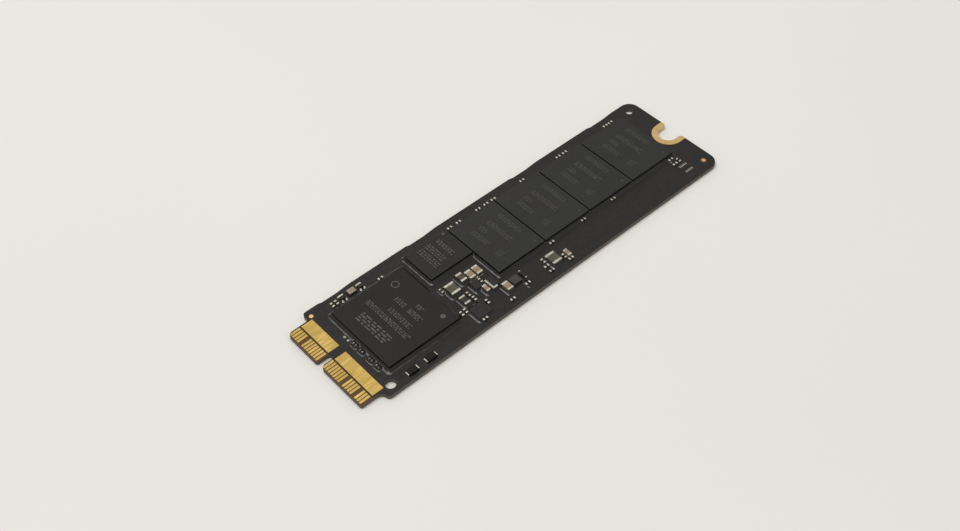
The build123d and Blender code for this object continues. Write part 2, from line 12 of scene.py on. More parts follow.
import bpy
import numpy as np
from mathutils import Matrix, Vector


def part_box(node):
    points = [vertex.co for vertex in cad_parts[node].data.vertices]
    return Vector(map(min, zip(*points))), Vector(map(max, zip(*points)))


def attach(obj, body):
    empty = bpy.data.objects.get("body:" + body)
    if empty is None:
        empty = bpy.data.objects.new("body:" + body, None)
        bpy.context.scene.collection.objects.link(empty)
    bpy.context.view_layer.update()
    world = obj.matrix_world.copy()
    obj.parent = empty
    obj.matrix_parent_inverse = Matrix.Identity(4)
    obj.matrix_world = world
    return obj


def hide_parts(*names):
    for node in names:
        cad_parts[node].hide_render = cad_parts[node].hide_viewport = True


Tree = bpy.types.NodeTree
Socket = bpy.types.NodeSocket

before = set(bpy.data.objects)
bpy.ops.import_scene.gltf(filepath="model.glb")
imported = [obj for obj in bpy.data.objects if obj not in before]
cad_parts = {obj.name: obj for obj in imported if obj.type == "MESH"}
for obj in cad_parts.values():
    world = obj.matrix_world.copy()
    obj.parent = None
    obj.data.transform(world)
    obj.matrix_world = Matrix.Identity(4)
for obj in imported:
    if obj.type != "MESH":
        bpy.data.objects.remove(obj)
LOG = logging.getLogger("drive")
MM = 0.001
NAND_COUNT = 4


# ---- colour, nodes and meshes
def linear(hex_colour: str) -> tuple[float, float, float, float]:
    """Turn an sRGB hex colour into linear red, green, blue and alpha.

    Args:
        hex_colour: Six hex digits, red first.

    Returns:
        The linear colour with full alpha.
    """
    shares = [int(hex_colour[start:start + 2], 16) / 255 for start in (0, 2, 4)]
    red, green, blue = (s / 12.92 if s <= 0.04045 else ((s + 0.055) / 1.055) ** 2.4 for s in shares)
    return red, green, blue, 1.0


def add(tree: Tree, kind: str, inputs: dict, **settings: object) -> bpy.types.Node:
    """Add one node with its settings, socket values and links.

    Args:
        tree: The node tree that gets the node.
        kind: The node's type name.
        inputs: Socket name or number to a value, or to the output socket that feeds it.
        **settings: Properties of the node itself, set before its sockets.

    Returns:
        The new node.
    """
    made = tree.nodes.new(kind)
    for key, value in settings.items():
        setattr(made, key, value)
    for key, value in inputs.items():
        if isinstance(value, Socket):
            tree.links.new(value, made.inputs[key])
        else:
            made.inputs[key].default_value = value
    return made


def add_object(name: str, data: bpy.types.ID) -> bpy.types.Object:
    """Add an object to the scene.

    Args:
        name: The object's name.
        data: The mesh, light or camera that it shows.

    Returns:
        The new object.
    """
    made = bpy.data.objects.new(name, data)
    bpy.context.scene.collection.objects.link(made)
    return made


@dataclass(frozen=True)
class Extent:
    """An upright box, as its low and high corners in millimetres."""

    low: np.ndarray
    high: np.ndarray

    @property
    def centre(self) -> np.ndarray:
        """The middle of the box."""
        return (self.low + self.high) / 2

    @property
    def size(self) -> np.ndarray:
        """The box's three sides."""
        return self.high - self.low

    def outside(self, xs: np.ndarray, ys: np.ndarray) -> tuple[np.ndarray, np.ndarray]:
        """How far places lie outside the box along X and along Y, below zero within it."""
        out_x = np.abs(xs - self.centre[0]) - self.size[0] / 2
        return out_x, np.abs(ys - self.centre[1]) - self.size[1] / 2


def extent_of(node: str) -> Extent:
    """The box of a whole CAD node."""
    low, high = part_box(node)
    return Extent(np.array(low) / MM, np.array(high) / MM)


def solids_of(node: str) -> list[Extent]:
    """The box of each separate solid in a CAD node.

    Corners that lie together count as one point. Each triangle hands the lowest label among its
    points to all three of them, again and again, until every solid holds one label.

    Args:
        node: The node's name.

    Returns:
        One box per solid, in the node's own order.
    """
    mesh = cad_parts[node].data
    points = np.empty(len(mesh.vertices) * 3, np.float32)
    mesh.vertices.foreach_get("co", points)
    points = points.reshape(-1, 3) / MM
    _, merged = np.unique(np.round(points, 3), axis=0, return_inverse=True)
    merged = merged.reshape(-1)
    mesh.calc_loop_triangles()
    corners = np.empty(len(mesh.loop_triangles) * 3, np.int32)
    mesh.loop_triangles.foreach_get("vertices", corners)
    triangles = merged[corners].reshape(-1, 3)
    labels = np.arange(merged.max() + 1)
    while True:
        spread = labels.copy()
        np.minimum.at(spread, triangles.ravel(), np.repeat(labels[triangles].min(axis=1), 3))
        if np.array_equal(spread, labels):
            break
        labels = spread
    of_point = labels[merged]
    groups = [points[of_point == label] for label in np.unique(of_point)]
    return [Extent(group.min(axis=0), group.max(axis=0)) for group in groups]


@dataclass
class Shell:
    """A closed mesh being put together: points in millimetres and the faces between them."""

    points: np.ndarray
    faces: list

    @staticmethod
    def joined(shells: list["Shell"]) -> "Shell":
        """Lay several shells into one, each keeping its own points.

        Args:
            shells: The shells to join.

        Returns:
            One shell that holds them all.
        """
        starts = np.cumsum([0] + [len(shell.points) for shell in shells[:-1]])
        faces = [
            [corner + start for corner in face]
            for shell, start in zip(shells, starts)
            for face in shell.faces
        ]
        return Shell(np.concatenate([shell.points for shell in shells]), faces)


def ring_faces(rows: int, columns: int) -> list:
    """Quads of a tube of closed rings laid one after another, with both end rings capped.

    Args:
        rows: How many rings.
        columns: How many points in each ring.

    Returns:
        Faces that point outwards where the rings turn anticlockwise seen against the path.
    """
    row, column = np.meshgrid(np.arange(rows - 1), np.arange(columns), indexing="ij")
    here = row * columns + column
    beside = row * columns + (column + 1) % columns
    quads = np.stack([here, beside, beside + columns, here + columns], axis=-1).reshape(-1, 4)
    first = list(range(columns))[::-1]
    last = list(range((rows - 1) * columns, rows * columns))
    return quads.tolist() + [first, last]


def swept(path: np.ndarray, sides: np.ndarray, profile: np.ndarray) -> Shell:
    """Carry a flat closed profile along an open path.

    Each ring is path + side * profile_out, raised by profile_up, where side is the level direction
    at that point of the path.

    Args:
        path: Points of the path, one row each.
        sides: The level direction to the left of the path, whose length stretches the profile.
        profile: Rows of (out, up), anticlockwise with out to the right and up upwards.

    Returns:
        The closed shell.
    """
    rings = path[:, None, :] + sides[:, None, :] * profile[None, :, :1]
    rings[:, :, 2] += profile[None, :, 1]
    return Shell(rings.reshape(-1, 3), ring_faces(len(path), len(profile)))


def slabs(lows: np.ndarray, highs: np.ndarray) -> Shell:
    """Many upright boxes at once, each with its own eight points.

    Args:
        lows: The low corners, one row each.
        highs: The high corners.

    Returns:
        One shell with six outward faces per box.
    """
    pick = np.array([[x, y, z] for z in (0, 1) for x, y in ((0, 0), (1, 0), (1, 1), (0, 1))])
    points = np.where(pick[None] == 1, highs[:, None, :], lows[:, None, :]).reshape(-1, 3)
    faces = np.array(
        [[3, 2, 1, 0], [4, 5, 6, 7], [0, 1, 5, 4], [1, 2, 6, 5], [2, 3, 7, 6], [3, 0, 4, 7]]
    )
    starts = np.arange(len(lows)) * len(pick)
    return Shell(points, (faces[None] + starts[:, None, None]).reshape(-1, 4).tolist())


def lathe(centre: np.ndarray, profile: np.ndarray, turns: int) -> Shell:
    """Turn a closed profile about an upright line: point = centre + radius * (cos, sin) at its height.

    Args:
        centre: The foot of the line.
        profile: Rows of (radius, height) with every radius above zero.
        turns: How many steps go round.

    Returns:
        The closed ring-shaped shell.
    """
    angle = np.arange(turns) * 2 * math.pi / turns
    around = np.stack([np.cos(angle), np.sin(angle), np.zeros(turns)], axis=-1)
    points = centre + around[:, None, :] * profile[None, :, :1]
    points[:, :, 2] += profile[None, :, 1]
    count = len(profile)
    step, spot = np.meshgrid(np.arange(turns), np.arange(count), indexing="ij")
    here, there = step * count, (step + 1) % turns * count
    after = (spot + 1) % count
    quads = np.stack([here + spot, there + spot, there + after, here + after], axis=-1)
    return Shell(points.reshape(-1, 3), quads.reshape(-1, 4).tolist())


def raised_sheet(xs: np.ndarray, ys: np.ndarray, tops: np.ndarray, keep: np.ndarray, base: float) -> Shell:
    """Close a height field over the cells that are kept: a top, a flat base and walls round the rim.

    Args:
        xs: The grid's places along X.
        ys: The grid's places along Y.
        tops: The height at each grid point, X first.
        keep: Which cells are kept, one fewer each way than the points.
        base: The height of the flat underside.

    Returns:
        The closed shell, with unused grid points left out.
    """
    grid_x, grid_y = np.meshgrid(xs, ys, indexing="ij")
    top = np.stack([grid_x, grid_y, tops], axis=-1).reshape(-1, 3)
    under = top.copy()
    under[:, 2] = base
    index = np.arange(len(top)).reshape(tops.shape)
    a, b, c, d = index[:-1, :-1], index[1:, :-1], index[1:, 1:], index[:-1, 1:]
    padded = np.pad(keep, 1)
    lower = len(top)
    faces = [
        np.stack([a, b, c, d], axis=-1)[keep],
        np.stack([d, c, b, a], axis=-1)[keep] + lower,
    ]
    rims = (
        (padded[:-2, 1:-1], d, a), (padded[2:, 1:-1], b, c),
        (padded[1:-1, :-2], a, b), (padded[1:-1, 2:], c, d),
    )
    for neighbour, start, end in rims:
        open_side = keep & ~neighbour
        wall = np.stack([start + lower, end + lower, end, start], axis=-1)
        faces.append(wall[open_side])
    quads = np.concatenate(faces)
    used, renumbered = np.unique(quads, return_inverse=True)
    return Shell(np.concatenate([top, under])[used], renumbered.reshape(quads.shape).tolist())


# ---- finishes
@dataclass
class Pattern:
    """What a finish hands to its shader: sockets for colour, relief height and roughness share."""

    colour: Socket
    height: Socket
    gloss: Socket


@dataclass
class Shading:
    """A material's node tree and the object coordinates that its patterns read."""

    tree: Tree
    place: Socket

    def noise(self, width: float) -> Socket:
        """A noise whose patches have a width in millimetres: it repeats about every two patches."""
        inputs = {"Vector": self.place, "Scale": 0.5 / (width * MM), "Detail": 2.0, "Roughness": 0.55}
        return add(self.tree, "ShaderNodeTexNoise", inputs).outputs[0]

    def mix(self, share: object, first: object, second: object) -> Socket:
        """Mix a share of the second colour into the first, each given as a value or a socket."""
        inputs = {0: share, 6: first, 7: second}
        return add(self.tree, "ShaderNodeMix", inputs, data_type="RGBA").outputs[2]

    def steps(
        self, value: Socket, low: float, high: float, to_low: float = 0.0, to_high: float = 1.0
    ) -> Socket:
        """Stretch a value smoothly, so that low becomes to_low and high becomes to_high."""
        inputs = {0: value, 1: low, 2: high, 3: to_low, 4: to_high}
        return add(self.tree, "ShaderNodeMapRange", inputs, interpolation_type="SMOOTHSTEP").outputs[0]

    def math(self, operation: str, *values: object) -> Socket:
        """Work one sum out from numbers and sockets, in the order of the node's inputs."""
        return add(self.tree, "ShaderNodeMath", dict(enumerate(values)), operation=operation).outputs[0]

    def wave(self, axis: str, inputs: dict) -> Socket:
        """Straight bands that follow one another along an axis, shaped by the other inputs."""
        settings = {"wave_type": "BANDS", "bands_direction": axis}
        return add(self.tree, "ShaderNodeTexWave", {"Vector": self.place} | inputs, **settings).outputs[1]

    def along(self, axis: int) -> Socket:
        """The place along one axis, in metres."""
        return add(self.tree, "ShaderNodeSeparateXYZ", {0: self.place}).outputs[axis]


@dataclass(frozen=True)
class Finish:
    """A finish of two tones clouded together, with a fine grain in its relief and roughness.

    Clouds and grain are the widths of one patch, and relief is the grain's height, all in
    millimetres.
    """

    name: str
    tone: str
    second_tone: str
    roughness: float
    roughness_spread: float = 0.06
    metallic: float = 0.0
    ior: float = 1.5
    clouds: float = 4.0
    grain: float = 0.25
    relief: float = 0.002

    def pattern(self, shading: Shading) -> Pattern:
        """The clouded tones and the grain.

        Args:
            shading: What the pattern is built in.

        Returns:
            The sockets that the shader reads.
        """
        cloud = shading.steps(shading.noise(self.clouds), 0.3, 0.7)
        grain = shading.noise(self.grain)
        colour = shading.mix(cloud, linear(self.tone), linear(self.second_tone))
        return Pattern(colour, grain, grain)

    def material(self) -> bpy.types.Material:
        """The finish as a material, made once and then shared.

        Returns:
            The material.
        """
        known = bpy.data.materials.get(self.name)
        if known:
            return known
        made = bpy.data.materials.new(self.name)
        made.use_nodes = True
        tree = made.node_tree
        tree.nodes.clear()
        shading = Shading(tree, add(tree, "ShaderNodeTexCoord", {}).outputs["Object"])
        pattern = self.pattern(shading)
        low, high = self.roughness - self.roughness_spread, self.roughness + self.roughness_spread
        rough = shading.steps(pattern.gloss, 0.25, 0.75, low, high)
        bump = add(
            tree, "ShaderNodeBump",
            {"Height": pattern.height, "Distance": self.relief * MM, "Strength": 1.0},
        )
        inputs = {
            "Base Color": pattern.colour,
            "Metallic": self.metallic,
            "Roughness": rough,
            "Normal": bump.outputs[0],
        }
        if self.metallic == 0:
            inputs["IOR"] = self.ior
        shader = add(tree, "ShaderNodeBsdfPrincipled", inputs)
        add(tree, "ShaderNodeOutputMaterial", {"Surface": shader.outputs[0]})
        return made


@dataclass(frozen=True)
class SolderMaskFinish(Finish):
    """Satin solder mask over woven glass: the cloth's threads show through as a faint relief."""

    thread: float = 0.55
    thread_share: float = 0.35

    def pattern(self, shading: Shading) -> Pattern:
        """The clouded mask, with its relief raised by two crossed sets of threads.

        Args:
            shading: What the pattern is built in.

        Returns:
            The sockets that the shader reads.
        """
        base = super().pattern(shading)
        height = base.height
        for direction in ("X", "Y"):
            wave = shading.wave(direction, {"Scale": 0.5 / (self.thread * MM), "Distortion": 0.6})
            height = shading.math("MULTIPLY_ADD", wave, self.thread_share, height)
        return Pattern(base.colour, height, base.gloss)


@dataclass(frozen=True)
class LaminateFinish(Finish):
    """Glass-epoxy laminate: layers in view on its routed edge, and a dark bare face."""

    layer: float = 0.13
    dark_layer: str = "2E2824"
    face: str = "553A14"
    middle: float = 0.5
    half_thickness: float = 0.368

    def pattern(self, shading: Shading) -> Pattern:
        """The clouded edge, striped by height with rough-edged layers.

        Args:
            shading: What the pattern is built in.

        Returns:
            The sockets that the shader reads.
        """
        base = super().pattern(shading)
        scale = 0.16 / (self.layer * MM)
        inputs = {"Scale": scale, "Distortion": 0.35, "Detail": 2.0, "Detail Scale": 6.0}
        share = shading.steps(shading.wave("Z", inputs), 0.15, 0.6, 0.55, 0.0)
        layers = shading.mix(share, base.colour, linear(self.dark_layer))
        inside = shading.math("COMPARE", shading.along(2), self.middle * MM, self.half_thickness * MM)
        colour = shading.mix(inside, linear(self.face), layers)
        return Pattern(colour, base.height, base.gloss)


@dataclass(frozen=True)
class WipedGoldFinish(Finish):
    """Hard gold plating, wiped along X by the socket's springs each time it was plugged in."""

    wipe_width: float = 0.16
    wipe_length: float = 2.5
    wiped_tone: str = "E6CB90"

    def pattern(self, shading: Shading) -> Pattern:
        """Clouded gold with long fine wipe marks in its gloss and relief.

        Args:
            shading: What the pattern is built in.

        Returns:
            The sockets that the shader reads.
        """
        base = super().pattern(shading)
        stretch = (1 / self.wipe_length, 1 / self.wipe_width, 1 / self.wipe_width)
        inputs = {"Vector": shading.place, "Scale": stretch}
        mapped = add(shading.tree, "ShaderNodeMapping", inputs).outputs[0]
        inputs = {"Vector": mapped, "Scale": 0.5 / MM, "Detail": 2.0}
        wipe = add(shading.tree, "ShaderNodeTexNoise", inputs).outputs[0]
        gloss = shading.steps(wipe, 0.35, 0.75)
        worn = shading.steps(wipe, 0.5, 0.85, 0.0, 0.2)
        colour = shading.mix(worn, base.colour, linear(self.wiped_tone))
        return Pattern(colour, wipe, gloss)


@dataclass(frozen=True)
class SortedCeramicFinish(Finish):
    """Fired capacitor ceramic from two batches: the chips before one place along X are darker."""

    dark_tone: str = "4A3D2A"
    dark_before: float = -12.5

    def pattern(self, shading: Shading) -> Pattern:
        """The clouded ceramic, dark before the given place.

        Args:
            shading: What the pattern is built in.

        Returns:
            The sockets that the shader reads.
        """
        base = super().pattern(shading)
        dark = shading.math("LESS_THAN", shading.along(0), self.dark_before * MM)
        colour = shading.mix(dark, base.colour, linear(self.dark_tone))
        return Pattern(colour, base.height, base.gloss)


@dataclass(frozen=True)
class EpoxyFinish(Finish):
    """Moulded epoxy: the silica that fills it leaves a grit of this size on the large packages."""

    clouds: float = 5.0
    grain: float = 0.16
    relief: float = 0.005


class Look(Enum):
    """Every finish on the drive and under it."""

    # Liquid photoimageable solder mask, screened on and baked: satin, near black, a little warm.
    SOLDER_MASK = SolderMaskFinish(
        "satin_solder_mask", "16130E", "1A1712", 0.35, clouds=6.0, grain=0.35, relief=0.004, ior=1.46
    )
    # FR-4 laminate cut by a router: matte, brown-grey, with its layers in view.
    LAMINATE = LaminateFinish(
        "routed_glass_epoxy", "6E625A", "5F544D", 0.7, clouds=1.5, grain=0.12, relief=0.01
    )
    # Electroplated hard gold over nickel: a soft mirror, brushed by the socket's springs.
    HARD_GOLD = WipedGoldFinish(
        "electroplated_hard_gold", "E8C576", "DDBA66", 0.36, metallic=1.0, clouds=3.0, relief=0.0015
    )
    # The same gold round the screw, never wiped: paler and more matte.
    NOTCH_GOLD = Finish(
        "unwiped_soft_gold", "EACA90", "DFBD7F", 0.45, metallic=1.0, clouds=1.0, grain=0.2, relief=0.003
    )
    # Tin-silver solder, melted and set again: bright with a slightly frosted skin.
    SOLDER = Finish(
        "reflowed_tin_solder", "C9C6BE", "B4B1A9", 0.28, 0.1, metallic=1.0, clouds=0.4, grain=0.1,
        relief=0.004,
    )
    # Matte tin plated over nickel on the chips' fired ends.
    TIN_END = Finish(
        "matte_tin_plate", "DFDBCE", "C6C1B4", 0.42, 0.08, metallic=1.0, clouds=0.5, grain=0.1, relief=0.003
    )
    # Epoxy filled with silica and moulded over the dies: matte, fine grained, almost black.
    CONTROLLER_MOLD = EpoxyFinish("moulded_epoxy_controller", "13110E", "161412", 0.38, ior=1.4)
    # A greyer batch of the same epoxy on the flash packages.
    MEMORY_MOLD = EpoxyFinish("moulded_epoxy_memory", "1C1C1A", "20201D", 0.38, ior=1.46)
    # A third batch on the working memory, between the two in tone.
    DRAM_MOLD = EpoxyFinish("moulded_epoxy_dram", "181817", "1C1B1A", 0.38, ior=1.42)
    # The finer grade that small outlines are moulded from: plain matte black.
    SMALL_MOLD = EpoxyFinish(
        "moulded_epoxy_small", "171716", "1D1C1B", 0.42, clouds=0.8, grain=0.12, ior=1.45
    )
    # Epoxy rich in carbon over the fuse wire: the deepest black, with hardly a sheen.
    FUSE_BODY = EpoxyFinish("moulded_epoxy_fuse", "0D0C0B", "100F0E", 0.5, clouds=0.8, grain=0.12, ior=1.3)
    # Epoxy with little carbon in it: a plain mid grey.
    FIRMWARE_MOLD = EpoxyFinish("moulded_epoxy_grey", "2C2C2A", "343432", 0.45, clouds=0.8, grain=0.12)
    # A laser burns the skin off the moulding, which leaves pale, dry silica.
    LASER_MARK = Finish(
        "laser_etched_epoxy", "585854", "474743", 0.75, clouds=0.35, grain=0.08, relief=0.004
    )
    # The same burn at low power: barely paler than the moulding.
    FAINT_MARK = Finish(
        "laser_etched_epoxy_faint", "3F3F3D", "353533", 0.6, clouds=0.35, grain=0.08, relief=0.004
    )
    # The same burn in wide strokes: a little warmer.
    BOLD_MARK = Finish(
        "laser_etched_epoxy_bold", "595751", "47453F", 0.75, clouds=0.4, grain=0.08, relief=0.004
    )
    # Resin laminate under each moulding: a thin dark green edge.
    SUBSTRATE = Finish("package_laminate", "1B231B", "20281F", 0.5, clouds=1.0, grain=0.1, relief=0.003)
    # Capillary underfill epoxy, cured as it flowed: wet-looking black.
    UNDERFILL = Finish(
        "cured_underfill_epoxy", "121211", "181816", 0.18, 0.05, clouds=1.2, grain=0.9, relief=0.002, ior=1.55
    )
    # Barium titanate fired with its electrodes: tan, faintly sanded.
    CAPACITOR = SortedCeramicFinish(
        "fired_titanate_ceramic", "97826A", "86755B", 0.45, clouds=0.6, grain=0.1, relief=0.003
    )
    # Glass glaze over fired ceramic: dark brown with small clear highlights.
    SMALL_BODY = Finish(
        "glazed_resistor_ceramic", "26221E", "3A3128", 0.3, clouds=0.9, grain=0.1, relief=0.002
    )
    # Resin overglaze printed on a resistor: smooth warm black.
    SENSE_BODY = Finish("resistor_overglaze", "24221F", "2C2A26", 0.35, clouds=0.5, grain=0.1, relief=0.002)
    # Iron powder pressed with resin round the coil: dull grey with coarse grit.
    FERRITE = Finish(
        "pressed_iron_powder", "514F40", "42402F", 0.55, 0.1, clouds=0.3, grain=0.12, relief=0.008
    )
    # Copper wire under clear enamel: shiny red-brown.
    COIL = Finish(
        "enamelled_copper", "A4623A", "8F5230", 0.3, metallic=1.0, clouds=0.3, grain=0.1, relief=0.002
    )
    # Dark fired alumina: dull brown-grey below the lid.
    CRYSTAL_BASE = Finish("alumina_package", "3A3530", "443E38", 0.5, clouds=0.5, grain=0.1, relief=0.003)
    # Rolled nickel-iron sheet, seam welded: soft warm silver.
    CRYSTAL_LID = Finish(
        "nickel_iron_lid", "A9A08F", "968E7E", 0.4, metallic=1.0, clouds=0.5, grain=0.12, relief=0.002
    )
    # Silicon ground thin: smooth blue-grey.
    SILICON = Finish("ground_silicon", "55575C", "4A4C52", 0.25, clouds=2.0, grain=0.1, relief=0.001)
    # Coated paper with an even matte face; its fibres show only as a faint tooth.
    LABEL = Finish("coated_label_paper", "D8D7D2", "D2D1CB", 0.7, clouds=5.0, grain=0.3, relief=0.004)
    # Painted board under the drive: off-white and matte, so it holds only a soft shadow.
    FLOOR = Finish("pale_table_top", "EBE9E6", "E9E7E3", 0.75, clouds=60.0, grain=1.5, relief=0.002)


# ---- putting pieces into the scene
def place_piece(name: str, shell: Shell, look: Look, crease_deg: float = 40.0) -> bpy.types.Object:
    """Make a shell into a shown piece that rides with the drive.

    Args:
        name: The piece's name.
        shell: Its closed mesh in millimetres.
        look: Its finish.
        crease_deg: Edges that turn more than this stay sharp.

    Returns:
        The new object.
    """
    mesh = bpy.data.meshes.new(name)
    mesh.from_pydata((shell.points * MM).tolist(), [], shell.faces)
    mesh.update()
    mesh.shade_smooth()
    mesh.set_sharp_from_angle(angle=math.radians(crease_deg))
    mesh.materials.append(look.value.material())
    made = add_object(name, mesh)
    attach(made, "root")
    LOG.info("%s: %d faces, %s", name, len(mesh.polygons), look.value.name)
    return made


def dress_node(node: str, look: Look) -> None:
    """Give a carried-over CAD node its finish.

    Args:
        node: The node's name.
        look: The finish for its only material slot.
    """
    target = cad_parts[node]
    if not target.material_slots:
        target.data.materials.append(None)
    for held in target.material_slots:
        held.material = look.value.material()
    LOG.info("%s: %s", node, look.value.name)


# ---- sub-assemblies
@dataclass
class Board:
    """The circuit board: its finishes, its tented vias and the relief of tracks under the mask."""

    track_width: float = 0.18
    track_height: float = 0.006
    track_pitch: float = 0.42
    track_crown: float = 0.6
    via_radius: float = 0.24
    via_rim: float = 0.07
    via_height: float = 0.02
    via_pinhole: float = 0.02
    via_turns: int = 14

    @property
    def top(self) -> float:
        """The height of the mask's upper face."""
        return float(extent_of("solder_mask_top").high[2])

    def dress(self) -> None:
        """Give the board's CAD nodes their finishes."""
        dress_node("laminate_core", Look.LAMINATE)
        for side in ("top", "bottom"):
            dress_node(f"solder_mask_{side}", Look.SOLDER_MASK)
            dress_node(f"contact_fingers_{side}", Look.HARD_GOLD)
            dress_node(f"contact_bands_{side}", Look.HARD_GOLD)
        dress_node("screw_notch_plating", Look.NOTCH_GOLD)
        dress_node("fiducial_dots", Look.NOTCH_GOLD)
        dress_node("bare_solder_pads", Look.SOLDER)
        dress_node("label", Look.LABEL)

    def track(self, start_x: float, end_x: float, y: float) -> Shell:
        """One track's relief: a straight low rib with sloping flanks.

        Args:
            start_x: Where the rib starts along X.
            end_x: Where it ends.
            y: Its middle line.

        Returns:
            The closed rib.
        """
        path = np.array([(start_x, y, self.top), (end_x, y, self.top)])
        left = np.array([(0.0, 1.0, 0.0)] * len(path))
        half = self.track_width / 2
        crown = self.track_crown * half
        sunk = -self.track_height / 2
        profile = np.array(
            [(-half, sunk), (half, sunk), (crown, self.track_height), (-crown, self.track_height)]
        )
        return swept(path, left, profile)

    def tracks(self) -> list[Shell]:
        """Bundles of tracks on the open parts of the board, each next one starting a little later.

        Returns:
            One shell per track.
        """
        edge = extent_of("solder_mask_top")
        near, far = float(edge.low[1]), float(edge.high[1])
        bundles = (
            (8.0, 33.8, near + 3.0, 5),
            (-26.0, -18.4, near + 1.6, 4),
            (-22.0, 26.0, far - 2.4, 3),
        )
        return [
            self.track(start_x + lane * self.track_pitch, end_x + lane * self.track_pitch,
                       first_y + lane * self.track_pitch)
            for start_x, end_x, first_y, lanes in bundles
            for lane in range(lanes)
        ]

    def vias(self) -> list[Shell]:
        """Tented vias: low rings with a dimple, in short rows beside the tracks.

        Returns:
            One shell per via.
        """
        rim = self.via_radius - self.via_rim
        middle = (self.via_radius + rim) / 2
        profile = np.array([
            (self.via_pinhole, -self.via_height), (self.via_radius, -self.via_height),
            (self.via_radius, 0.0), (middle, self.via_height), (rim, self.via_height * 0.7),
            (self.via_pinhole, -self.via_height * 0.2),
        ])
        near = float(extent_of("solder_mask_top").low[1])
        rows = (
            (7.4, near + 1.1, 0.9, 0.0, 6), (20.0, near + 5.4, 1.3, 0.0, 5), (36.2, near + 1.2, 0.9, 0.0, 3),
            (-27.5, near + 3.6, 1.0, 0.0, 3), (-38.0, 8.6, 0.0, -1.1, 5), (-37.9, -1.2, 0.0, -1.1, 6),
        )
        spots = [
            (x + step_x * step, y + step_y * step)
            for x, y, step_x, step_y, count in rows
            for step in range(count)
        ]
        spots += [(-18.9, 1.25), (-8.9, 1.75), (38.6, 6.4), (39.6, 7.3), (38.2, -4.2), (39.5, -3.9)]
        return [lathe(np.array([x, y, self.top]), profile, self.via_turns) for x, y in spots]

    def build(self) -> None:
        """Dress the board and add the relief on its mask."""
        self.dress()
        place_piece("track_relief", Shell.joined(self.tracks()), Look.SOLDER_MASK)
        place_piece("tented_vias", Shell.joined(self.vias()), Look.SOLDER_MASK)


@dataclass(frozen=True)
class MarkColumn:
    """One column of laser dashes on a package, measured from the package's low X and middle Y.

    The column is a few parallel strokes, and each stroke is broken into dashes by the rhythm, which
    starts one dash later in each next stroke.
    """

    from_edge: float
    start: float
    end: float
    height: float
    rhythm: tuple[float, ...]
    strokes: int = 3
    stroke: float = 0.19
    gap_share: float = 1.3

    def dashes(self, package: Extent, thickness: float) -> tuple[np.ndarray, np.ndarray]:
        """Low and high corners of the dashes, which follow the rhythm until the column is full.

        Args:
            package: The package that is marked.
            thickness: How far a dash stands out of the moulding.

        Returns:
            The low corners and the high corners.
        """
        gap = self.gap_share * self.stroke
        repeats = int((self.start - self.end) / min(self.rhythm)) + 1
        pitch = (self.height - self.stroke) / (self.strokes - 1)
        lows = []
        highs = []
        for number in range(self.strokes):
            lengths = np.tile(np.roll(self.rhythm, number), repeats)
            starts = self.start - np.concatenate([[0.0], np.cumsum(lengths[:-1] + gap)])
            fits = starts - lengths >= self.end
            y = package.centre[1] + starts[fits]
            x = np.full(len(y), package.low[0] + self.from_edge + number * pitch)
            top = np.full(len(y), package.high[2])
            lows.append(np.stack([x, y - lengths[fits], top - thickness], axis=-1))
            highs.append(np.stack([x + self.stroke, y, top + thickness], axis=-1))
        return np.concatenate(lows), np.concatenate(highs)


@dataclass(frozen=True)
class RingMark:
    """A flat laser ring on a package, measured as the columns are. A dot is a ring with a pinhole."""

    from_edge: float
    from_middle: float
    outer: float
    inner: float = 0.01
    turns: int = 24

    def shell(self, package: Extent, thickness: float) -> Shell:
        """The ring's closed mesh on the package's top.

        Args:
            package: The package that is marked.
            thickness: How far the ring stands out of the moulding.

        Returns:
            The closed ring.
        """
        middle = package.centre[1] + self.from_middle
        centre = np.array([package.low[0] + self.from_edge, middle, package.high[2]])
        profile = np.array([
            (self.inner, -thickness), (self.outer, -thickness),
            (self.outer, thickness), (self.inner, thickness),
        ])
        return lathe(centre, profile, self.turns)


# Plain dashes of a few lengths.
SHORT_DASHES = (0.35, 0.62, 0.28, 0.5)
MIXED_DASHES = (1.0, 0.35, 0.6, 0.3, 0.45, 0.8)
LONG_DASHES = (1.1, 0.55, 1.5, 0.7)


@dataclass
class Package:
    """A moulded package with its laser marks and its finishes."""

    name: str
    look: Look
    columns: tuple[MarkColumn, ...]
    rings: tuple[RingMark, ...]
    bold: tuple[MarkColumn, ...] = ()
    mark_look: Look = Look.LASER_MARK
    thickness: float = 0.004

    def marks(self, columns: tuple[MarkColumn, ...], mold: Extent) -> Shell:
        """All the dashes of some columns.

        Args:
            columns: The columns to lay.
            mold: The package's moulding.

        Returns:
            One shell that holds them.
        """
        corners = [column.dashes(mold, self.thickness) for column in columns]
        lows, highs = zip(*corners)
        return slabs(np.concatenate(lows), np.concatenate(highs))

    def build(self) -> None:
        """Dress the package's CAD nodes and lay its marks on top."""
        dress_node(f"{self.name}_mold", self.look)
        dress_node(f"{self.name}_substrate", Look.SUBSTRATE)
        dress_node(f"{self.name}_die", Look.SILICON)
        mold = extent_of(f"{self.name}_mold")
        marks = [self.marks(self.columns, mold)]
        marks += [ring.shell(mold, self.thickness) for ring in self.rings]
        place_piece(f"{self.name}_marks", Shell.joined(marks), self.mark_look)
        if self.bold:
            bold = self.marks(self.bold, mold)
            place_piece(f"{self.name}_bold_marks", bold, Look.BOLD_MARK)


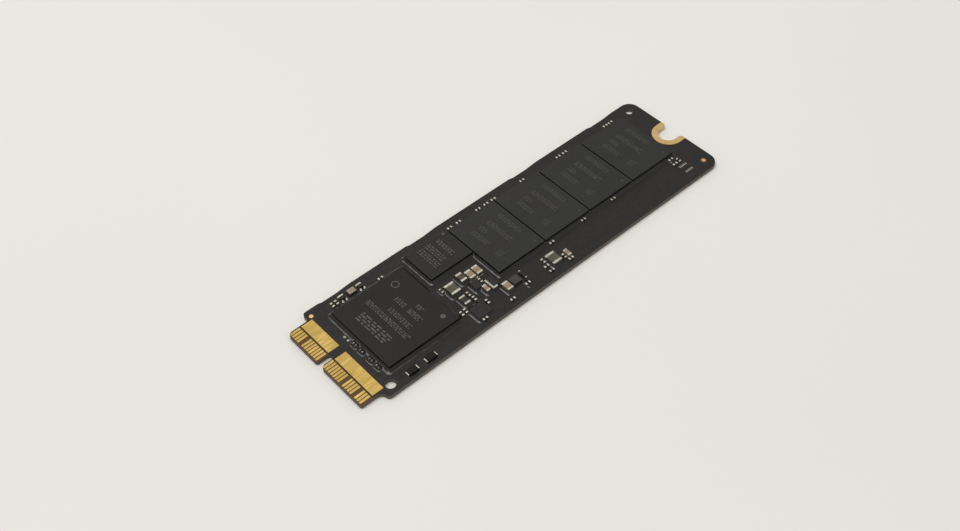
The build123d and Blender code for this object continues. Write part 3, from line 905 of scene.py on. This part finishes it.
class Packages:
    """The controller, its working memory and the row of flash packages."""

    def build(self) -> None:
        """Build every package and dress the balls under them."""
        controller = Package(
            "controller", Look.CONTROLLER_MOLD,
            (
                MarkColumn(5.75, 5.8, -5.7, 0.95, MIXED_DASHES),
                MarkColumn(7.55, 1.8, -4.1, 0.95, SHORT_DASHES),
                MarkColumn(9.85, 2.9, 0.4, 0.95, SHORT_DASHES),
                MarkColumn(9.85, -0.7, -4.1, 0.95, MIXED_DASHES),
                MarkColumn(11.6, -0.9, -2.6, 0.8, SHORT_DASHES),
            ),
            (RingMark(13.8, -5.85, 0.5), RingMark(12.3, 5.45, 0.8, 0.62, 32)),
            (MarkColumn(2.3, 4.2, -4.2, 2.0, LONG_DASHES, 4, 0.3),),
        )
        controller.build()
        dram = Package(
            "dram", Look.DRAM_MOLD,
            (
                MarkColumn(2.35, 3.0, -2.4, 1.2, SHORT_DASHES),
                MarkColumn(4.15, 3.0, -2.4, 1.2, MIXED_DASHES),
                MarkColumn(6.45, 2.6, -2.0, 0.9, SHORT_DASHES),
            ),
            (RingMark(8.8, 3.2, 0.3),),
        )
        dram.build()
        columns = (
            MarkColumn(9.0, 3.65, -2.85, 0.95, SHORT_DASHES),
            MarkColumn(6.3, 3.75, -3.25, 0.95, MIXED_DASHES),
            MarkColumn(4.3, 3.65, 1.4, 0.95, SHORT_DASHES),
            MarkColumn(2.5, 3.65, -0.8, 0.95, SHORT_DASHES),
            MarkColumn(2.4, -3.0, -4.6, 1.4, (0.3, 0.45, 0.2), 5, 0.14),
        )
        dot = RingMark(9.8, -5.75, 0.2)
        for number in range(1, NAND_COUNT + 1):
            nand = Package(
                f"nand_{number}", Look.MEMORY_MOLD, columns, (dot,), mark_look=Look.FAINT_MARK
            )
            nand.build()
        for node in ("controller_solder_balls", "dram_solder_balls", "nand_solder_balls"):
            dress_node(node, Look.SOLDER)


@dataclass(frozen=True)
class Wall:
    """A part's footprint that adhesive climbs: how high it climbs and how far out it reaches."""

    extent: Extent
    climb: float
    reach: float


# How far the metal ends of each sort of chip reach past its body along Y.
END_LENGTHS = {
    "small_chips": 0.34,
    "large_capacitors": 0.45,
    "medium_capacitors": 0.35,
    "inductor_cores": 0.5,
    "sense_resistor": 0.42,
}


@dataclass
class Adhesive:
    """Underfill round the packages and edge bond round the power parts, as cured from a liquid.

    Away from a wall the liquid's height is climb * (hollow * (1 - t)^2 + (1 - hollow) * (1 - t)), with
    t the distance over the reach: steep at the wall, flatter at the foot, and below the board past
    it. The distance is below zero inside a wall, so the slope runs on smoothly under the part. Where
    menisci meet, their cubes are added and the cube root taken, which rounds the valley between.

    Each pair of numbers is a climb and a reach. Inset is how far under a part the bead runs on.
    """

    at_controller: tuple[float, float] = (0.42, 0.85)
    beside_controller: tuple[float, float] = (0.32, 0.5)
    at_memory: tuple[float, float] = (0.36, 0.64)
    at_bonded: tuple[float, float] = (0.34, 0.62)
    at_dabbed: tuple[float, float] = (0.24, 0.42)
    pitch: float = 0.07
    hollow: float = 0.72
    waviness: float = 0.05
    sunk: float = 0.02
    inset: float = 0.12
    margin_share: float = 1.2
    rim_share: float = 0.9

    def walls(self) -> dict[str, list[Wall]]:
        """The walls that each bead climbs.

        Returns:
            Lists of walls under the beads' names.
        """
        small = self.whole_chips("small_chips")
        large = self.whole_chips("large_capacitors")
        medium = self.whole_chips("medium_capacitors")
        controller = extent_of("controller_mold")
        molds = [extent_of(f"nand_{number}_mold") for number in range(1, NAND_COUNT + 1)]
        molds.append(extent_of("dram_mold"))
        low_x = controller.low[0]
        beside = [chip for chip in small if low_x - 1.5 < chip.centre[0] < low_x and abs(chip.centre[1]) < 8]
        held = self.whole_chips("inductor_cores") + self.whole_chips("sense_resistor")
        held += [extent_of("power_chip"), extent_of("converter_chip")]
        held += [self.nearest(large, -13.3, -0.9), self.nearest(large, -8.5, -8.0)]
        held.append(self.nearest(medium, -11.6, -5.7))
        dabbed = [self.nearest(small, x, y) for x, y in ((-17.7, -0.6), (-5.2, -9.7), (36.7, -5.4))]
        return {
            "controller_bead": (
                [Wall(controller, *self.at_controller)]
                + [Wall(chip, *self.beside_controller) for chip in beside]
            ),
            "memory_bead": [Wall(mold, *self.at_memory) for mold in molds],
            "edge_bond": (
                [Wall(part, *self.at_bonded) for part in held]
                + [Wall(chip, *self.at_dabbed) for chip in dabbed]
            ),
        }

    @staticmethod
    def nearest(parts: list[Extent], x: float, y: float) -> Extent:
        """The part whose middle is nearest to a place on the board."""
        return min(parts, key=lambda part: math.hypot(part.centre[0] - x, part.centre[1] - y))

    @staticmethod
    def whole_chips(node: str) -> list[Extent]:
        """The boxes of a node's chips, each body lengthened along Y by its two ends."""
        step = np.array([0.0, END_LENGTHS[node], 0.0])
        return [Extent(body.low - step, body.high + step) for body in solids_of(node)]

    def heights(self, walls: list[Wall], xs: np.ndarray, ys: np.ndarray) -> np.ndarray:
        """The adhesive's height over the board at each grid point.

        Args:
            walls: The walls that it climbs.
            xs: The grid's places along X.
            ys: The grid's places along Y.

        Returns:
            Heights, a little below zero past the foot.
        """
        grid_x, grid_y = np.meshgrid(xs, ys, indexing="ij")
        wobble = np.sin(1.9 * grid_x + 0.7 * grid_y) * np.sin(1.3 * grid_y - 0.5 * grid_x + 1.0)
        wobble += 0.5 * np.sin(4.1 * grid_x - 2.2) * np.sin(3.7 * grid_y + 0.4)
        total = np.zeros_like(grid_x)
        lowest = np.full_like(grid_x, -self.sunk)
        for wall in walls:
            out_x, out_y = wall.extent.outside(grid_x, grid_y)
            distance = np.hypot(np.maximum(out_x, 0), np.maximum(out_y, 0))
            distance += np.minimum(np.maximum(out_x, out_y), 0)
            left = 1 - distance / (wall.reach * (1 + self.waviness * wobble))
            height = wall.climb * (self.hollow * left * np.abs(left) + (1 - self.hollow) * left)
            total += np.maximum(height, 0) ** 3
            lowest = np.maximum(lowest, np.minimum(height, 0))
        return np.where(total > 0, np.cbrt(total), lowest)

    def bead(self, name: str, walls: list[Wall], board_top: float) -> Shell:
        """One bead's closed mesh: the height field where it clears its sunk rim.

        Args:
            name: The bead's name, for the log.
            walls: The walls that it climbs.
            board_top: The height of the mask's upper face.

        Returns:
            The closed shell.
        """
        margin = self.margin_share * max(wall.reach for wall in walls)
        lows = np.min([wall.extent.low for wall in walls], axis=0) - margin
        highs = np.max([wall.extent.high for wall in walls], axis=0) + margin
        xs = np.arange(lows[0], highs[0] + self.pitch, self.pitch)
        ys = np.arange(lows[1], highs[1] + self.pitch, self.pitch)
        tops = self.heights(walls, xs, ys)
        middle_x = (xs[:-1] + xs[1:]) / 2
        middle_y = (ys[:-1] + ys[1:]) / 2
        cell_x, cell_y = np.meshgrid(middle_x, middle_y, indexing="ij")
        corners = [tops[:-1, :-1], tops[1:, :-1], tops[1:, 1:], tops[:-1, 1:]]
        keep = np.maximum.reduce(corners) > -self.rim_share * self.sunk
        for wall in walls:
            keep &= np.maximum(*wall.extent.outside(cell_x, cell_y)) >= -self.inset
        LOG.info("%s: %d cells kept", name, int(keep.sum()))
        return raised_sheet(xs, ys, tops + board_top, keep, board_top - 2 * self.sunk)

    def build(self, board_top: float) -> None:
        """Pour every bead in place of its plain CAD ring.

        Args:
            board_top: The height of the mask's upper face.
        """
        stood_for = {
            "controller_bead": "controller_underfill",
            "memory_bead": "memory_underfill",
            "edge_bond": "edge_bond_beads",
        }
        for name, walls in self.walls().items():
            made = place_piece(name, self.bead(name, walls, board_top), Look.UNDERFILL, 80.0)
            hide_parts(stood_for[name])


@dataclass
class Passives:
    """The two-terminal chips, with a solder fillet round the foot of every end."""

    fillet_reach: float = 0.13
    fillet_share: float = 0.42
    corner_steps: int = 3
    fall_steps: tuple[float, ...] = (0.0, 0.3, 0.65, 1.0)
    sunk: float = 0.02
    tucked: float = 0.03

    def fillet(self, end: Extent, outward: np.ndarray) -> Shell:
        """A concave fillet round three sides of a chip's end.

        Its profile falls from the wall as climb * (1 - t)^2 while t runs from 0 at the wall to 1 at
        the foot, and it is carried round the end's two outer corners as quarter turns.

        Args:
            end: The metal end.
            outward: The unit direction that the end faces.

        Returns:
            The closed fillet.
        """
        across = np.array([-outward[1], outward[0], 0.0])
        half_width = float(np.abs(end.size @ np.abs(across))) / 2
        depth = float(np.abs(end.size @ np.abs(outward)))
        height = float(end.size[2]) * self.fillet_share
        reach = self.fillet_reach * (0.6 + float(end.size[2]))
        base = np.array([end.centre[0], end.centre[1], end.low[2]])
        face = base + outward * depth / 2
        turn = np.linspace(0.0, math.pi / 2, self.corner_steps)
        spots = [base + across * half_width]
        directions = [across]
        for side in (1, -1):
            corner = face + side * across * half_width
            angles = turn if side == 1 else turn[::-1]
            for angle in angles:
                spots.append(corner)
                directions.append(side * across * math.cos(angle) + outward * math.sin(angle))
        spots.append(base - across * half_width)
        directions.append(-across)
        share = np.array(self.fall_steps)
        outer = np.stack([share * reach, height * (1 - share) ** 2], axis=-1)
        under = [(reach, -self.sunk), (-self.tucked, -self.sunk), (-self.tucked, height)]
        profile = np.concatenate([outer, under])
        return swept(np.array(spots), np.array(directions), profile[::-1])

    def fillets(self, bodies: str, ends: str) -> list[Shell]:
        """The fillets of every chip in a pair of nodes.

        Args:
            bodies: The node that holds the chips' bodies.
            ends: The node that holds their metal ends.

        Returns:
            One shell per end.
        """
        centres = np.array([body.centre[:2] for body in solids_of(bodies)])
        shells = []
        for end in solids_of(ends):
            gaps = end.centre[:2] - centres
            nearest = gaps[np.argmin(np.hypot(gaps[:, 0], gaps[:, 1]))]
            outward = np.zeros(3)
            axis = int(np.argmax(np.abs(nearest)))
            outward[axis] = np.sign(nearest[axis])
            shells.append(self.fillet(end, outward))
        return shells

    def build(self) -> None:
        """Dress the chips and solder them down."""
        pairs = (
            ("large_capacitors", "large_capacitor_ends", Look.CAPACITOR),
            ("medium_capacitors", "medium_capacitor_ends", Look.CAPACITOR),
            ("sense_resistor", "sense_resistor_ends", Look.SENSE_BODY),
            ("inductor_cores", "inductor_ends", Look.FERRITE),
            ("transistor_bodies", "transistor_leads", Look.SMALL_MOLD),
        )
        shells = []
        for bodies, ends, look in pairs:
            dress_node(bodies, look)
            dress_node(ends, Look.TIN_END)
            shells += self.fillets(bodies, ends)
        place_piece("solder_fillets", Shell.joined(shells), Look.SOLDER, 60.0)


@dataclass
class SmallParts:
    """The smallest chips, fuses, leadless chips, coils, diodes and the clock crystal."""

    looks: tuple[tuple[str, Look], ...] = (
        ("small_chips", Look.SMALL_BODY),
        ("small_chip_ends", Look.TIN_END),
        ("inductor_coils", Look.COIL),
        ("fuse_bodies", Look.FUSE_BODY),
        ("fuse_ends", Look.TIN_END),
        ("power_chip", Look.SMALL_MOLD),
        ("converter_chip", Look.SMALL_MOLD),
        ("firmware_chip", Look.FIRMWARE_MOLD),
        ("small_chip_lands", Look.SOLDER),
        ("diode_bodies", Look.SMALL_MOLD),
        ("diode_clips", Look.TIN_END),
        ("crystal_base", Look.CRYSTAL_BASE),
        ("crystal_lid", Look.CRYSTAL_LID),
    )

    def build(self) -> None:
        """Dress every small part."""
        for node, look in self.looks:
            dress_node(node, look)


# ---- stage, light and camera
@dataclass(frozen=True)
class Softbox:
    """A square area light that faces the drive, with its place and side in metres."""

    name: str
    place: tuple[float, float, float]
    side: float
    watts: float
    colour: str = "FFFDFA"

    def build(self) -> None:
        """Add the light to the scene."""
        light = bpy.data.lights.new(self.name, "AREA")
        light.shape = "SQUARE"
        light.size = self.side
        light.energy = self.watts
        light.color = linear(self.colour)[:3]
        made = add_object(self.name, light)
        back = np.array(self.place) / np.linalg.norm(self.place)
        right = np.cross([0.0, 0.0, 1.0], back)
        right /= np.linalg.norm(right)
        turn = Matrix(np.column_stack([right, np.cross(back, right), back]).tolist())
        made.matrix_world = Matrix.Translation(self.place) @ turn.to_4x4()


@dataclass
class Studio:
    """The floor, the soft lights and the camera, in metres."""

    lights: tuple[Softbox, ...] = (
        Softbox("ceiling_light", (-0.28, 0.3, 1.3), 0.9, 9.1),
        Softbox("corner_light", (0.23, -0.02, 1.3), 0.28, 0.9),
        Softbox("window_light", (0.7, 1.7, 0.75), 1.0, 2.6),
    )
    floor_radius: float = 2.5
    floor_rings: tuple[float, ...] = (0.02, 0.1, 0.3, 1.0)
    floor_points: int = 48
    lens: float = 46.54
    sensor: float = 36.0
    camera_place: tuple[float, float, float] = (-0.1043, -0.1139, 0.1687)
    camera_turn_deg: tuple[float, float, float] = (41.4559, 1.3059, -41.6840)
    world_colour: str = "FFFEFC"
    world_strength: float = 0.49

    def floor(self) -> None:
        """A wide round table top: rings of points at growing radii, level at height zero."""
        count = self.floor_points
        rings = np.array(self.floor_rings) * self.floor_radius / MM
        angle = np.linspace(0, 2 * math.pi, count, endpoint=False)
        around = np.stack([np.cos(angle), np.sin(angle), np.zeros(count)], axis=-1)
        points = (rings[:, None, None] * around[None]).reshape(-1, 3)
        row, column = np.meshgrid(np.arange(len(rings) - 1), np.arange(count), indexing="ij")
        here = row * count + column
        beside = row * count + (column + 1) % count
        quads = np.stack([here, here + count, beside + count, beside], axis=-1).reshape(-1, 4).tolist()
        mesh = bpy.data.meshes.new("floor")
        mesh.from_pydata((points * MM).tolist(), [], quads + [list(range(count))])
        mesh.materials.append(Look.FLOOR.value.material())
        add_object("floor", mesh)

    def build(self) -> None:
        """Set up the floor, the world, the lights and the camera."""
        scene = bpy.context.scene
        self.floor()
        world = bpy.data.worlds.new("soft_room")
        world.use_nodes = True
        shade = world.node_tree.nodes["Background"]
        shade.inputs["Color"].default_value = linear(self.world_colour)
        shade.inputs["Strength"].default_value = self.world_strength
        scene.world = world
        for light in self.lights:
            light.build()
        camera = bpy.data.cameras.new("camera")
        camera.lens = self.lens
        camera.sensor_width = self.sensor
        camera.clip_start = 0.005
        camera.clip_end = 20.0
        made = add_object("camera", camera)
        made.location = self.camera_place
        made.rotation_euler = [math.radians(angle) for angle in self.camera_turn_deg]
        scene.camera = made
        scene.view_settings.view_transform = "Standard"


def main() -> None:
    """Build the whole drive and its studio."""
    logging.basicConfig(level=logging.INFO, format="%(message)s")
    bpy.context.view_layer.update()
    board = Board()
    board.build()
    Packages().build()
    Adhesive().build(board.top)
    Passives().build()
    SmallParts().build()
    Studio().build()
    bpy.context.view_layer.update()


if __name__ == "__main__":
    main()
